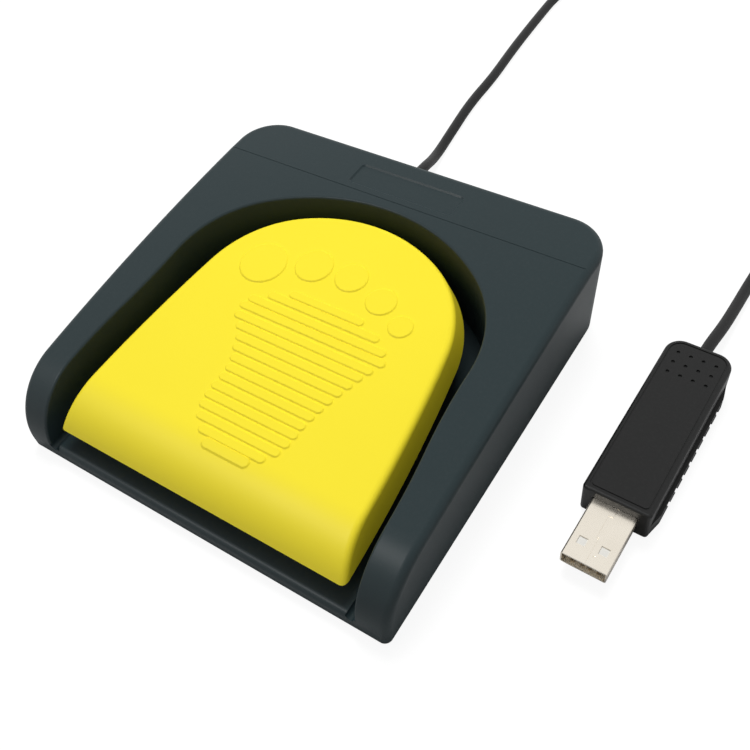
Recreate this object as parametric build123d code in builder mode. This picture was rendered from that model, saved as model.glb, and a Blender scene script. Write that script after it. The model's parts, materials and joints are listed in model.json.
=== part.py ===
from build123d import *
import os
from math import asin, atan, atan2, cos, degrees, hypot, pi, radians, sin, sqrt, tan

os.makedirs("parts", exist_ok=True)

# A foot pedal switch on a computer lead: a sloping base with a horseshoe well, a wide
# foot pedal in it that tips down about a rod at its heel end and works a snap switch,
# and a lead that ends in a plug with the controller inside.
# X points right, Y from the heel to the cable side, Z up. The origin is on the floor
# under the middle of the base. All sizes are in millimetres.

# Clearances that every fit below uses
slip = 0.05
running = 0.06
gap = 0.3
overrun = 6.0

# Base
base_width = 124.0
base_depth = 123.2
base_height = 30.1
base_wall = 2.4
base_draft = 2.4
base_edge_radius = 2.1
rear_corner_radius = 12.8
nose_radius = 21.0
nose_centre_height = 2.5
slope_start_angle = 7.6
strip_depth = 17.8
crease_width = 0.3
crease_depth = 0.1
foot_stand = 1.5

# Horseshoe well in the base. Its radii are shares of half its mouth.
well_rear_margin = 21.1
arm_width = 10.4
well_crown_share = 1.1047
well_crown_turn = 38.1
well_shoulder_share = 0.6783
well_splay_share = 0.476
well_apex = base_depth - well_rear_margin
well_mouth_half = base_width / 2 - arm_width
well_crown_radius = well_mouth_half * well_crown_share
well_shoulder_radius = well_mouth_half * well_shoulder_share
well_splay_run = well_apex * well_splay_share
well_wall = 2.2
well_rim_radius = 0.7
floor_height = 4.6
floor_thickness = 2.0
lip_edge_radius = 1.7
lip_groove_radius = 1.3
lip_groove_length = 30.0

# Bare label recess on the rear strip
label_width = 35.6
label_depth = 8.8
label_sink = 0.4
label_slope = 50.0
label_corner = 1.4
label_from_rear = 11.2

# Bottom cover, its feet and its screws
cover_thickness = 2.0
foot_radius = 6.0
foot_recess = 1.0
foot_edge = 0.5
foot_inset_x = 16.0
foot_inset_y = 13.0
foot_rear_inset = 25.0
boss_radius = 2.9
cover_screw_radius = 1.1
cover_screw_length = 9.0
cover_screw_head_radius = 2.1
cover_screw_head_height = 1.1
front_screw_inset_x = 6.5
front_screw_y = 26.0
rear_screw_inset_x = 16.0
rear_screw_inset_y = 13.2

# Pedal. Its radii are shares of half the well's mouth.
pedal_height = 18.78
pedal_tilt = 5.37
pedal_rear_gap = 4.9
pedal_crown_share = 0.8953
pedal_crown_turn = 29.1
pedal_shoulder_share = 0.6667
pedal_shoulder_turn = 80.8
pedal_apex = well_apex - pedal_rear_gap
pedal_crown_radius = well_mouth_half * pedal_crown_share
pedal_shoulder_radius = well_mouth_half * pedal_shoulder_share
pedal_side_radius = 474.0
pedal_nose_radius = 20.0
pedal_nose_start = 18.8
pedal_nose_turn = 65.0
pedal_skirt = 7.9
pedal_draft = 14.2
pedal_wall = 2.2
pedal_edge_radius = 1.9
pedal_travel = 3.2

# Ribs under the pedal and the raised footprint on it. Places in the footprint are
# shares of its length, measured from its heel and from the pedal's middle line.
rib_thickness = 1.4
rib_depth = 2.6
rib_front = 24.0
rib_rear_margin = 28.1
print_length = 68.0
print_heel = 14.5
print_rise = 0.32
print_slope = 50.0
stripe_width = 2.1
stripe_shares = [
    (0.03, -0.045, 0.165),
    (0.068, -0.095, 0.215),
    (0.114, -0.140, 0.250),
    (0.160, -0.162, 0.262),
    (0.205, -0.170, 0.268),
    (0.250, -0.172, 0.272),
    (0.297, -0.168, 0.280),
    (0.342, -0.170, 0.291),
    (0.388, -0.182, 0.303),
    (0.434, -0.202, 0.317),
    (0.480, -0.222, 0.334),
    (0.526, -0.255, 0.350),
    (0.570, -0.296, 0.370),
    (0.620, -0.304, 0.396),
    (0.662, -0.290, 0.372),
    (0.710, -0.224, 0.313),
    (0.752, -0.142, 0.214),
]
toe_shares = [
    (-0.347, 0.838, 0.101),
    (-0.134, 0.916, 0.080),
    (0.047, 0.928, 0.0685),
    (0.224, 0.875, 0.063),
    (0.359, 0.802, 0.0487),
]

# Hinge rod at the heel end
rod_radius = 1.5
rod_overhang = 6.0
pivot_y = 14.8
pivot_height = 9.5
lug_thickness = 3.0
lug_width = 7.0
lug_outer_inset = 15.6
lug_inner_x = 12.0
lug_to_ear = 5.0

# Return springs at the toe end
spring_share = 0.5523
spring_inset_y = 24.1
spring_radius = 3.6
spring_wire = 0.8
spring_turns = 7
spring_seat_drop = 3.1
spring_peg_radius = 2.7
spring_peg_height = 3.0
spring_seat_radius = 5.0

# Catches that hold the pedal down against its springs
catch_share = 0.3876
catch_inset_y = 17.1
catch_width = 6.0
catch_thickness = 2.2
catch_nose = 1.9
catch_top = 15.0
catch_nose_height = 2.4
hook_gap = 1.3
hook_height = 2.7

# Rubber stops under the toes
stop_share = 0.6589
stop_inset_y = 38.1
stop_radius = 4.0
stop_height = 2.0
stop_rib_thickness = 2.0
stop_rib_width = 6.0

# Snap switch on its small board
board_length = 28.0
board_thickness = 1.6
board_height = 3.4
board_share = 0.60725
board_screw_radius = 0.95
board_screw_length = 4.2
board_screw_head_radius = 1.9
board_screw_head_height = 1.2
board_boss_radius = 2.4
board_hole_inset = 2.7
board_screw_space = 0.5
case_length = 12.8
case_width = 5.8
case_height = 6.5
case_wall = 0.7
case_base_height = 1.8
lever_pivot_rise = 0.8
lever_pivot_inset = 1.2
lever_pin_radius = 0.55
lever_thickness = 0.3
lever_width = 3.6
lever_length = 13.2
lever_angle = 11.0
contact_inset_y = 13.2
lever_reach = 11.0
striker_gap = 0.25
striker_width = 8.0
striker_thickness = 2.2
button_radius = 1.0
button_offset = 3.5
button_skirt = 0.35
button_skirt_height = 0.8
blade_thickness = 0.2
terminal_width = 0.9
terminal_thickness = 0.5
terminal_pitch = 4.6
terminal_below = 1.6
lug_plate = 0.8

# Lead, its relief and its clamp in the base
cord_diameter = 3.5
exit_x = -16.3
exit_height = 6.5
relief_neck_radius = 3.0
relief_flange_radius = 4.2
relief_flange = 1.5
relief_length = 14.0
relief_tip_radius = 2.5
relief_groove = 0.45
relief_grooves = 4
clamp_inset_y = 9.7
clamp_length = 19.0
clamp_width = 5.0
clamp_thickness = 3.2
clamp_screw_offset = 6.6
clamp_screw_radius = 0.95
clamp_screw_length = 5.0
jacket_past_clamp = 5.5
wire_diameter = 1.3
wire_spread = 0.95
wire_route_margin = 27.2
wire_route_middle = 12.0
wire_route_front = 7.0
wire_bend = 1.5

# Free stretches of the lead, as points on its centre line. The first stretch starts
# at the relief and ends at the coil, and the second runs from the coil to the plug.
base_route = [
    (-19.4, 97.5, 1.75),
    (-21.3, 113.0, 1.75),
    (-23.4, 131.0, 1.75),
    (-23.3, 148.0, 1.75),
    (-25.0, 168.0, 1.75),
    (-25.9, 190.0, 1.75),
    (-26.4, 212.0, 1.75),
    (-19.0, 232.0, 1.75),
    (-1.0, 246.0, 1.75),
    (24.0, 252.5, 1.75),
    (54.0, 254.0, 1.75),
]
plug_route = [
    (111.0, 211.0, 13.75),
    (110.0, 190.0, 7.0),
    (108.0, 168.0, 1.75),
    (103.5, 147.0, 1.75),
    (99.2, 125.0, 1.75),
    (96.4, 105.0, 1.75),
    (95.3, 88.5, 1.75),
    (95.0, 76.5, 2.7),
    (94.75, 66.0, 4.2),
]
exit_run = 9.6
plug_exit_run = 5.0
bend_share = 0.45

# The lead's coil, which spirals in and out in layers
coil_x = 84.0
coil_y = 228.0
coil_radius = 26.0
coil_clear = 0.5
coil_layers = 4
layer_quarters = 10
coil_steps = 12

# Plug housing, its board and its metal shell
plug_x = 92.35
plug_front = -5.25
plug_turn = 1.24
plug_length = 55.5
plug_width = 18.2
plug_thickness = 11.0
plug_parting = 5.0
plug_rear_radius = 4.6
plug_front_radius = 1.0
plug_wall = 1.3
plug_edge_radius = 0.9
plug_plate_inset = 1.2
plug_plate_groove = 0.45
plug_ledge = 1.0
plug_ledge_taper = 4.5
dimple_radius = 0.5
dimple_depth = 0.4
dimple_pitch_x = 3.5
dimple_pitch_y = 3.7
dimple_from_rear = 4.9
dimple_columns = 4
dimple_rows = 3
grip_count = 9
grip_pitch = 4.6
grip_width = 1.2
grip_depth = 0.6
grip_slant = 30.0
grip_from_rear = 6.5
grip_height = 4.8
rail_width = 1.3
post_radius = 1.0
crimp_wall = 0.6
crimp_length = 2.0
shell_width = 12.0
shell_height = 4.5
shell_reach = 17.3
shell_hold = 3.0
shell_wall = 0.35
shell_corner = 0.6
window_size = 2.3
window_x = 2.9
window_from_mouth = 5.2
seam_width = 0.2
seam_depth = 0.15
seam_runs = [(0.9, 0.0, 2.8), (-0.3, 2.8, 9.6), (0.3, 9.6, 17.3)]
mark_radius = 0.4
mark_x = 1.5
mark_from_mouth = 2.6
tongue_thickness = 1.85
tongue_width = 10.8
tongue_back = 0.8
pin_width = 1.1
pin_thickness = 0.25
pin_outer_x = 3.5
pin_inner_x = 1.0
pin_from_mouth = 1.9
pin_tail = 2.6
plug_board_height = 5.55
plug_board_rear_gap = 16.2
plug_board_space = 0.55
plug_board_thickness = 1.0
chip_length = 9.9
chip_width = 3.9
chip_height = 1.5
chip_leads = 8
chip_lead_pitch = 1.27
chip_lead_reach = 1.0
chip_lead_width = 0.42
chip_lead_thickness = 0.2
crystal_length = 4.2
crystal_width = 3.0
crystal_height = 1.6
part_length = 2.0
part_width = 1.25
part_height = 0.6
chip_y = 16.5
crystal_y = 25.0
part_places = [(-3.6, 8.0), (0.0, 8.0), (3.6, 8.0), (-3.8, 30.0), (3.8, 30.0)]
plug_jacket_length = 5.2
plug_wire_straight = 3.6
plug_wire_rise = 2.7
plug_wire_inset = 2.8

front = -base_depth / 2
bench = Plane(origin=(0, front, foot_stand))
side = Plane(origin=bench.origin, x_dir=(0, 1, 0), z_dir=(1, 0, 0))


# Upright plane that faces the front, at x from the middle and y from the front edge
def upright(x, y):
    place = bench.from_local_coords(Vector(x, y, 0))
    return Plane(origin=place, x_dir=(1, 0, 0), z_dir=(0, -1, 0))


# Profile of the base from the side: front face, round nose, bowed slope and flat rear
# strip. inset moves every face inwards, and below lets it run down past the bottom.
def base_profile(inset, below):
    radius = nose_radius - inset
    crease = (base_depth - strip_depth, base_height - inset)
    slope_direction = (cos(radians(slope_start_angle)), sin(radians(slope_start_angle)))
    with BuildSketch() as profile:
        with BuildLine():
            rise = Line((inset, -below), (inset, nose_centre_height))
            nose = CenterArc(
                (nose_radius, nose_centre_height), radius, 180, slope_start_angle - 90
            )
            slope = TangentArc(nose @ 1, crease, tangent=slope_direction)
            rear = base_depth + overrun
            Polyline(slope @ 1, (rear, crease[1]), (rear, -below), rise @ 0)
        make_face()
    return profile.sketch


# Plan of the base with its round rear corners, open past the front where the profile
# ends it.
def base_plan(inset):
    half = base_width / 2 - inset
    rear = base_depth - inset
    radius = rear_corner_radius - inset
    with BuildSketch() as plan:
        with BuildLine():
            right = Line((half, -overrun), (half, rear - radius))
            corner = CenterArc((half - radius, rear - radius), radius, 0, 90)
            Line(corner @ 1, (0, rear))
            mirror(about=Plane.YZ)
            Line((-half, -overrun), (half, -overrun))
        make_face()
    return plan.sketch


# The block that the base is cut from, drafted in towards its bottom
def base_block(inset, below):
    with BuildPart() as block:
        with BuildSketch(bench.offset(base_height)):
            add(base_plan(inset))
        extrude(amount=-(base_height + below), taper=base_draft)
        with BuildSketch(side):
            add(base_profile(inset, below))
        extrude(amount=base_width, both=True, mode=Mode.INTERSECT)
    return block.part


# Plan of the well: a crown, two tighter shoulders, and sides that splay towards the
# front, where it is open. grow moves its wall outwards.
def well_plan(grow):
    turn = radians(well_crown_turn)
    crown_y = well_apex - well_crown_radius
    reach = well_crown_radius - well_shoulder_radius
    shoulder = (reach * sin(turn), crown_y + reach * cos(turn))
    shoulder_half = shoulder[0] + well_shoulder_radius
    splay_turn = 2 * atan((well_mouth_half - shoulder_half) / well_splay_run)
    splay_radius = well_splay_run / 2 / sin(splay_turn)
    bend = degrees(splay_turn)
    mouth_y = shoulder[1] - well_splay_run
    with BuildSketch() as plan:
        with BuildLine():
            CenterArc((0, crown_y), well_crown_radius + grow, 90 - well_crown_turn, well_crown_turn)
            CenterArc(shoulder, well_shoulder_radius + grow, 0, 90 - well_crown_turn)
            CenterArc(
                (shoulder_half + splay_radius, shoulder[1]), splay_radius - grow, 180, bend
            )
            mouth = CenterArc(
                (well_mouth_half - splay_radius, mouth_y), splay_radius + grow, 0, bend
            )
            Line(mouth @ 0, (well_mouth_half + grow, -overrun))
            mirror(about=Plane.YZ)
            Line((-well_mouth_half - grow, -overrun), (well_mouth_half + grow, -overrun))
        make_face()
    return plan.sketch


tilt = radians(pedal_tilt)
pedal_plane = Plane(
    origin=bench.from_local_coords(Vector(0, 0, pedal_height)),
    x_dir=(1, 0, 0),
    z_dir=(0, -sin(tilt), cos(tilt)),
)
nose_top = (pedal_nose_start, pedal_height + pedal_nose_start * tan(tilt))
nose_centre = (
    nose_top[0] + pedal_nose_radius * sin(tilt),
    nose_top[1] - pedal_nose_radius * cos(tilt),
)


# Height of the pedal's underside above the base's bottom edge, y from the front
def underside(y):
    return pedal_height + y * tan(tilt) - pedal_wall / cos(tilt)


# How far the pedal comes down at y when it is fully pressed
def pedal_drop(y):
    return (y - pivot_y) * tan(radians(pedal_travel))


def pedal_profile(inset):
    radius = pedal_nose_radius - inset
    touch = (nose_centre[0] - radius * sin(tilt), nose_centre[1] + radius * cos(tilt))
    far = (touch[0] + base_depth * cos(tilt), touch[1] + base_depth * sin(tilt))
    with BuildSketch() as profile:
        with BuildLine():
            Line(far, touch)
            nose = CenterArc(nose_centre, radius, 90 + pedal_tilt, pedal_nose_turn)
            end = nose @ 1
            Polyline(end, (end.X, -base_height), (far[0], -base_height), far)
        make_face()
    return profile.sketch


# Outline of the pedal's top edge, open past its front where the profile ends it
def pedal_plan(inset):
    crown_y = pedal_apex - pedal_crown_radius
    crown_turn = radians(pedal_crown_turn)
    reach = pedal_crown_radius - pedal_shoulder_radius
    shoulder = (reach * sin(crown_turn), crown_y + reach * cos(crown_turn))
    turn = radians(pedal_shoulder_turn)
    back = pedal_side_radius - pedal_shoulder_radius
    flank = (shoulder[0] - back * sin(turn), shoulder[1] - back * cos(turn))
    flank_radius = pedal_side_radius - inset
    start = 90 - pedal_shoulder_turn
    end = degrees(asin((-overrun - flank[1]) / flank_radius))
    with BuildSketch() as plan:
        with BuildLine():
            CenterArc(
                (0, crown_y), pedal_crown_radius - inset, 90 - pedal_crown_turn, pedal_crown_turn
            )
            CenterArc(
                shoulder,
                pedal_shoulder_radius - inset,
                start,
                pedal_shoulder_turn - pedal_crown_turn,
            )
            flank_arc = CenterArc(flank, flank_radius, start, end - start)
            mirror(about=Plane.YZ)
            corner = flank_arc @ 1
            Line((-corner.X, corner.Y), (corner.X, corner.Y))
        make_face()
    return plan.sketch


# The block that the pedal is cut from. Its sides flare towards the bottom edge.
def pedal_block(inset, below):
    with BuildPart() as block:
        with BuildSketch(pedal_plane):
            add(pedal_plan(inset))
        extrude(amount=-(pedal_skirt + below), taper=-pedal_draft)
        with BuildSketch(side):
            add(pedal_profile(inset))
        extrude(amount=base_width, both=True, mode=Mode.INTERSECT)
    return block.part


# A screw with its head's top at its origin and its shank along -Z. A tool that cuts the
# hole for it has no driver slot.
def countersunk_screw(head_radius, head_height, radius, length, driven=True):
    slot = head_radius / 4
    with BuildPart() as screw:
        with BuildSketch(Plane.XZ):
            with BuildLine():
                Polyline(
                    (0, 0),
                    (head_radius, 0),
                    (radius, -head_height),
                    (radius, radius - length),
                    (0, -length),
                    (0, 0),
                )
            make_face()
        revolve(axis=Axis.Z)
        if driven:
            with BuildSketch(Plane.XY):
                Rectangle(head_radius, slot)
                Rectangle(slot, head_radius)
            extrude(amount=-head_height / 2, mode=Mode.SUBTRACT)
    return screw.part


def pan_screw(head_radius, head_height, radius, length):
    slot = head_radius / 4
    with BuildPart() as screw:
        with BuildSketch(Plane.XY):
            Circle(head_radius)
        extrude(amount=-head_height)
        fillet(screw.edges().group_by(Axis.Z)[-1], head_height / 2)
        with BuildSketch(Plane.XY.offset(-head_height)):
            Circle(radius)
        extrude(amount=-length)
        with BuildSketch(Plane.XY):
            Rectangle(head_radius, slot)
            Rectangle(slot, head_radius)
        extrude(amount=-head_height / 2, mode=Mode.SUBTRACT)
    return screw.part


# Points in the base's frame at one height above its bottom edge
def on_bench(places, height):
    return [bench.from_local_coords(Vector(x, y, height)) for x, y in places]


# A round wire or lead along a path of straight runs joined by arcs
def round_tube(points, radii, radius):
    with BuildPart() as tube:
        with BuildLine() as path:
            FilletPolyline(*points, radius=radii)
        with BuildSketch(Plane(origin=path.line @ 0, z_dir=path.line % 0)):
            Circle(radius)
        sweep(path=path.line)
    return tube.part, sum(edge.length for edge in path.edges())


# The radius of each bend of a free lead: as wide as its shorter run allows
def bend_radii(points):
    radii = []
    for before, here, after in zip(points, points[1:], points[2:]):
        run_in, run_out = here - before, after - here
        turn = radians(run_in.get_angle(run_out))
        radii.append(bend_share * min(run_in.length, run_out.length) / tan(turn / 2))
    return radii


# Places that more than one piece uses, from the base's front edge
cord_radius = cord_diameter / 2
bottom_draft = base_height * tan(radians(base_draft))
front_ceiling = nose_centre_height + nose_radius - base_wall / 2
ceiling = base_height - base_wall / 2
front_screw_x = base_width / 2 - front_screw_inset_x
rear_screw_x = base_width / 2 - rear_screw_inset_x
rear_screw_y = base_depth - rear_screw_inset_y
front_screws = [(sign * front_screw_x, front_screw_y) for sign in (-1, 1)]
rear_screws = [(sign * rear_screw_x, rear_screw_y) for sign in (-1, 1)]
screw_places = front_screws + rear_screws
lug_outer_x = well_mouth_half - lug_outer_inset
ear_outer_x = lug_outer_x - lug_to_ear
ear_inner_x = lug_inner_x + lug_to_ear
spring_x = well_mouth_half * spring_share
spring_y = well_apex - spring_inset_y
spring_top = underside(spring_y) - spring_seat_drop
catch_x = well_mouth_half * catch_share
catch_y = well_apex - catch_inset_y
stop_x = well_mouth_half * stop_share
stop_y = well_apex - stop_inset_y
rib_rear = well_apex - rib_rear_margin
board_rear = well_apex * board_share
contact_y = board_rear - contact_inset_y
clamp_y = base_depth - clamp_inset_y
jacket_end_y = clamp_y - jacket_past_clamp
board_front = board_rear - board_length
board_top = floor_height + board_height + board_thickness
hole_x = case_width / 2 + board_screw_head_radius + board_screw_space
board_width = 2 * (hole_x + board_hole_inset)
board_holes = [
    (-hole_x, board_front + board_hole_inset),
    (hole_x, board_rear - board_hole_inset),
]
board_corners = board_holes + [(-x, y) for x, y in board_holes]
lug_places = [sign * x for x in (lug_outer_x, lug_inner_x) for sign in (-1, 1)]
ear_places = [sign * x for x in (ear_outer_x, ear_inner_x) for sign in (-1, 1)]
spring_places = [(-spring_x, spring_y), (spring_x, spring_y)]
catch_places = [(-catch_x, catch_y), (catch_x, catch_y)]
stop_places = [(-stop_x, stop_y), (stop_x, stop_y)]
hook_top = catch_top - catch_nose_height - gap
hook_y = catch_y - catch_nose - hook_gap
window_width = 2 * wire_spread + wire_diameter + 2 * gap
window_height = wire_diameter + 4 * gap
wall_face_y = base_depth - (base_height - exit_height) * tan(radians(base_draft))
relief_end_y = wall_face_y + gap + relief_length
lever_pivot_y = contact_y - lever_reach
lever_pivot_height = board_top + case_height + lever_pivot_rise
case_front = lever_pivot_y - lever_pivot_inset
case_middle = case_front + case_length / 2
case_top = board_top + case_height
lever_tilt = radians(lever_angle)
terminal_places = [(0, case_middle + step * terminal_pitch) for step in (-1, 0, 1)]
wire_hole_y = board_rear - board_hole_inset
wire_radius = wire_diameter / 2


# The well's wall and floor, before the well is hollowed
with BuildPart() as well_body:
    with BuildSketch(bench.offset(floor_height - floor_thickness)):
        add(well_plan(well_wall))
    extrude(amount=base_height)
    add(base_block(base_wall / 2, 0), mode=Mode.INTERSECT)

# Top housing
with BuildPart() as top_housing:
    add(base_block(0, 0))
    rim_half = base_width / 2 - 2 * base_edge_radius
    outer_edges = [
        e
        for e in top_housing.edges()
        if e.bounding_box().size.Z < nose_radius + nose_centre_height
        and e.bounding_box().max.Z > foot_stand + nose_centre_height / 2
        and (abs(e.center().X) > rim_half or e.center().Y > -front - base_edge_radius)
    ]
    fillet(outer_edges, base_edge_radius)
    add(base_block(base_wall, overrun), mode=Mode.SUBTRACT)
    add(well_body.part)

    # Screw bosses down to the cover
    with BuildSketch(bench.offset(cover_thickness)):
        with Locations(front_screws):
            Circle(boss_radius)
    extrude(amount=front_ceiling - cover_thickness)
    with BuildSketch(bench.offset(cover_thickness)):
        with Locations(rear_screws):
            Circle(boss_radius)
    extrude(amount=ceiling - cover_thickness)
    with BuildSketch(bench):
        with Locations(screw_places):
            Circle(cover_screw_radius + slip)
    extrude(amount=cover_screw_length + gap, mode=Mode.SUBTRACT)

    # The hollow of the well, and the small rounding of its rim
    with BuildSketch(bench.offset(floor_height)):
        add(well_plan(0))
    extrude(amount=base_height, mode=Mode.SUBTRACT)
    floor_z = foot_stand + floor_height
    well_edges = [
        e
        for e in top_housing.edges(Select.LAST)
        if e.bounding_box().max.Z > floor_z + slip
        and e.bounding_box().size.X + e.bounding_box().size.Y > gap
    ]
    fillet(well_edges, well_rim_radius)

    # The rounded front edge of the lip, and the grooves between its ends and the arms
    with BuildSketch(side):
        with BuildLine():
            low = floor_height - lip_edge_radius
            high = floor_height + lip_edge_radius
            round_edge = CenterArc((lip_edge_radius, low), lip_edge_radius, 90, 90)
            Polyline(
                round_edge @ 1,
                (-overrun, low),
                (-overrun, high),
                (lip_edge_radius, high),
                round_edge @ 0,
            )
        make_face()
    lip_half = well_mouth_half - 2 * lip_groove_radius
    extrude(amount=lip_half, both=True, mode=Mode.SUBTRACT)
    groove_x = well_mouth_half - lip_groove_radius
    with BuildSketch(Plane(origin=(0, front, floor_z), x_dir=(1, 0, 0), z_dir=(0, -1, 0))):
        with Locations((-groove_x, 0), (groove_x, 0)):
            Circle(lip_groove_radius)
    extrude(amount=-lip_groove_length, mode=Mode.SUBTRACT)

    # The crease where the rear strip meets the slope
    with BuildSketch(bench.offset(base_height)):
        with Locations((0, base_depth - strip_depth)):
            Rectangle(base_width, crease_width)
    extrude(amount=-crease_depth, mode=Mode.SUBTRACT)

    # Bare label recess
    with BuildSketch(bench.offset(base_height)):
        with Locations((0, base_depth - label_from_rear)):
            RectangleRounded(label_width, label_depth, label_corner)
    extrude(amount=-label_sink, taper=label_slope, mode=Mode.SUBTRACT)

    # Slot for the strain relief in the rear wall, and the wires' way into the well
    with BuildSketch(upright(exit_x, base_depth + gap)):
        with Locations((0, exit_height)):
            Circle(relief_neck_radius + slip)
            Rectangle(
                2 * (relief_neck_radius + slip),
                exit_height + overrun,
                align=(Align.CENTER, Align.MAX),
            )
    extrude(amount=base_wall + bottom_draft + 2 * gap, mode=Mode.SUBTRACT)
    with BuildSketch(upright(exit_x, well_apex)):
        with Locations((0, exit_height)):
            Rectangle(window_width, window_height)
    extrude(amount=2 * well_wall, both=True, mode=Mode.SUBTRACT)

    # Lugs that the rod snaps into from above
    with BuildSketch(*[side.offset(x) for x in lug_places]):
        with Locations((pivot_y, pivot_height)):
            Circle(lug_width / 2)
            Rectangle(
                lug_width,
                pivot_height - floor_height + floor_thickness / 2,
                align=(Align.CENTER, Align.MAX),
            )
            Circle(rod_radius + slip, mode=Mode.SUBTRACT)
            Rectangle(
                2 * rod_radius - gap,
                lug_width,
                align=(Align.CENTER, Align.MIN),
                mode=Mode.SUBTRACT,
            )
    extrude(amount=lug_thickness / 2, both=True)

    # Posts under the switch board
    with BuildSketch(bench.offset(floor_height - floor_thickness / 2)):
        with Locations(board_corners):
            Circle(board_boss_radius)
    extrude(amount=floor_thickness / 2 + board_height)
    with BuildSketch(bench.offset(floor_height + board_height)):
        with Locations(board_holes):
            Circle(board_screw_radius + slip)
    extrude(amount=-board_screw_length, mode=Mode.SUBTRACT)

    # Pegs for the return springs
    with BuildSketch(bench.offset(floor_height - floor_thickness / 2)):
        with Locations(spring_places):
            Circle(spring_peg_radius)
    extrude(amount=floor_thickness / 2 + spring_peg_height)

    # Catches over the pedal's hooks
    with BuildSketch(*[side.offset(x) for x, y in catch_places]):
        with Locations((catch_y, catch_top)):
            Rectangle(
                catch_thickness,
                catch_top - floor_height + floor_thickness / 2,
                align=(Align.MIN, Align.MAX),
            )
            Rectangle(
                catch_nose + catch_thickness,
                catch_nose_height,
                align=(Align.MIN, Align.MAX),
            )
    extrude(amount=catch_width / 2, both=True)

top_housing.part.label = "top_housing"
export_step(top_housing.part, "parts/top_housing.step")

# Bottom cover, a plate inside the housing's skirt
cover_inset = base_wall + bottom_draft + gap
cover_rear = base_depth - cover_inset
foot_x = base_width / 2 - foot_inset_x
foot_places = [
    (sign * foot_x, y)
    for y in (foot_inset_y, cover_rear - foot_rear_inset)
    for sign in (-1, 1)
]
tab_width = 2 * relief_neck_radius - 2 * gap
tab_depth = cover_rear + base_wall + base_wall - wall_face_y
with BuildPart() as bottom_cover:
    with BuildSketch(bench):
        add(base_plan(cover_inset))
        with Locations((0, base_wall + gap)):
            Rectangle(
                base_width, base_depth, align=(Align.CENTER, Align.MIN), mode=Mode.INTERSECT
            )
    extrude(amount=cover_thickness)
    with BuildSketch(bench):
        with Locations(foot_places):
            Circle(foot_radius + slip)
    extrude(amount=foot_recess, mode=Mode.SUBTRACT)

    # The lower half of the cable clamp
    with BuildSketch(upright(exit_x, clamp_y)):
        with Locations((0, exit_height)):
            Rectangle(
                clamp_length,
                exit_height - cover_thickness / 2,
                align=(Align.CENTER, Align.MAX),
            )
            Circle(cord_radius + slip, mode=Mode.SUBTRACT)
    extrude(amount=clamp_width / 2, both=True)
    clamp_holes = [
        (exit_x + sign * clamp_screw_offset, clamp_y) for sign in (-1, 1)
    ]
    with BuildSketch(bench.offset(exit_height)):
        with Locations(clamp_holes):
            Circle(clamp_screw_radius + slip)
    extrude(amount=-clamp_screw_length, mode=Mode.SUBTRACT)

    # The tab that closes the slot under the strain relief
    with BuildSketch(bench):
        with Locations((exit_x, cover_rear - gap)):
            Rectangle(tab_width, base_wall + gap, align=(Align.CENTER, Align.MIN))
    extrude(amount=cover_thickness)
    with BuildSketch(bench):
        with Locations((exit_x, cover_rear + base_wall)):
            Rectangle(tab_width, tab_depth, align=(Align.CENTER, Align.MAX))
    extrude(amount=exit_height - relief_neck_radius - gap)
    cover_tool = countersunk_screw(
        cover_screw_head_radius + slip,
        cover_screw_head_height,
        cover_screw_radius + slip,
        cover_screw_length,
        driven=False,
    )
    with Locations(*on_bench(screw_places, 0)):
        add(cover_tool, rotation=(180, 0, 0), mode=Mode.SUBTRACT)

bottom_cover.part.label = "bottom_cover"
export_step(bottom_cover.part, "parts/bottom_cover.step")

# The screws that hold the cover
cover_screw = countersunk_screw(
    cover_screw_head_radius, cover_screw_head_height, cover_screw_radius, cover_screw_length
)
with BuildPart() as cover_screws:
    with Locations(*on_bench(screw_places, 0)):
        add(cover_screw, rotation=(180, 0, 0))

cover_screws.part.label = "cover_screws"
export_step(cover_screws.part, "parts/cover_screws.step")

# Rubber feet in the cover's recesses
foot_bottom = Plane(origin=(0, front, 0))
with BuildPart() as rubber_feet:
    with BuildSketch(foot_bottom):
        with Locations(foot_places):
            Circle(foot_radius)
    extrude(amount=foot_stand + foot_recess)
    fillet(rubber_feet.edges().group_by(Axis.Z)[0], foot_edge)

rubber_feet.part.label = "rubber_feet"
export_step(rubber_feet.part, "parts/rubber_feet.step")

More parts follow.
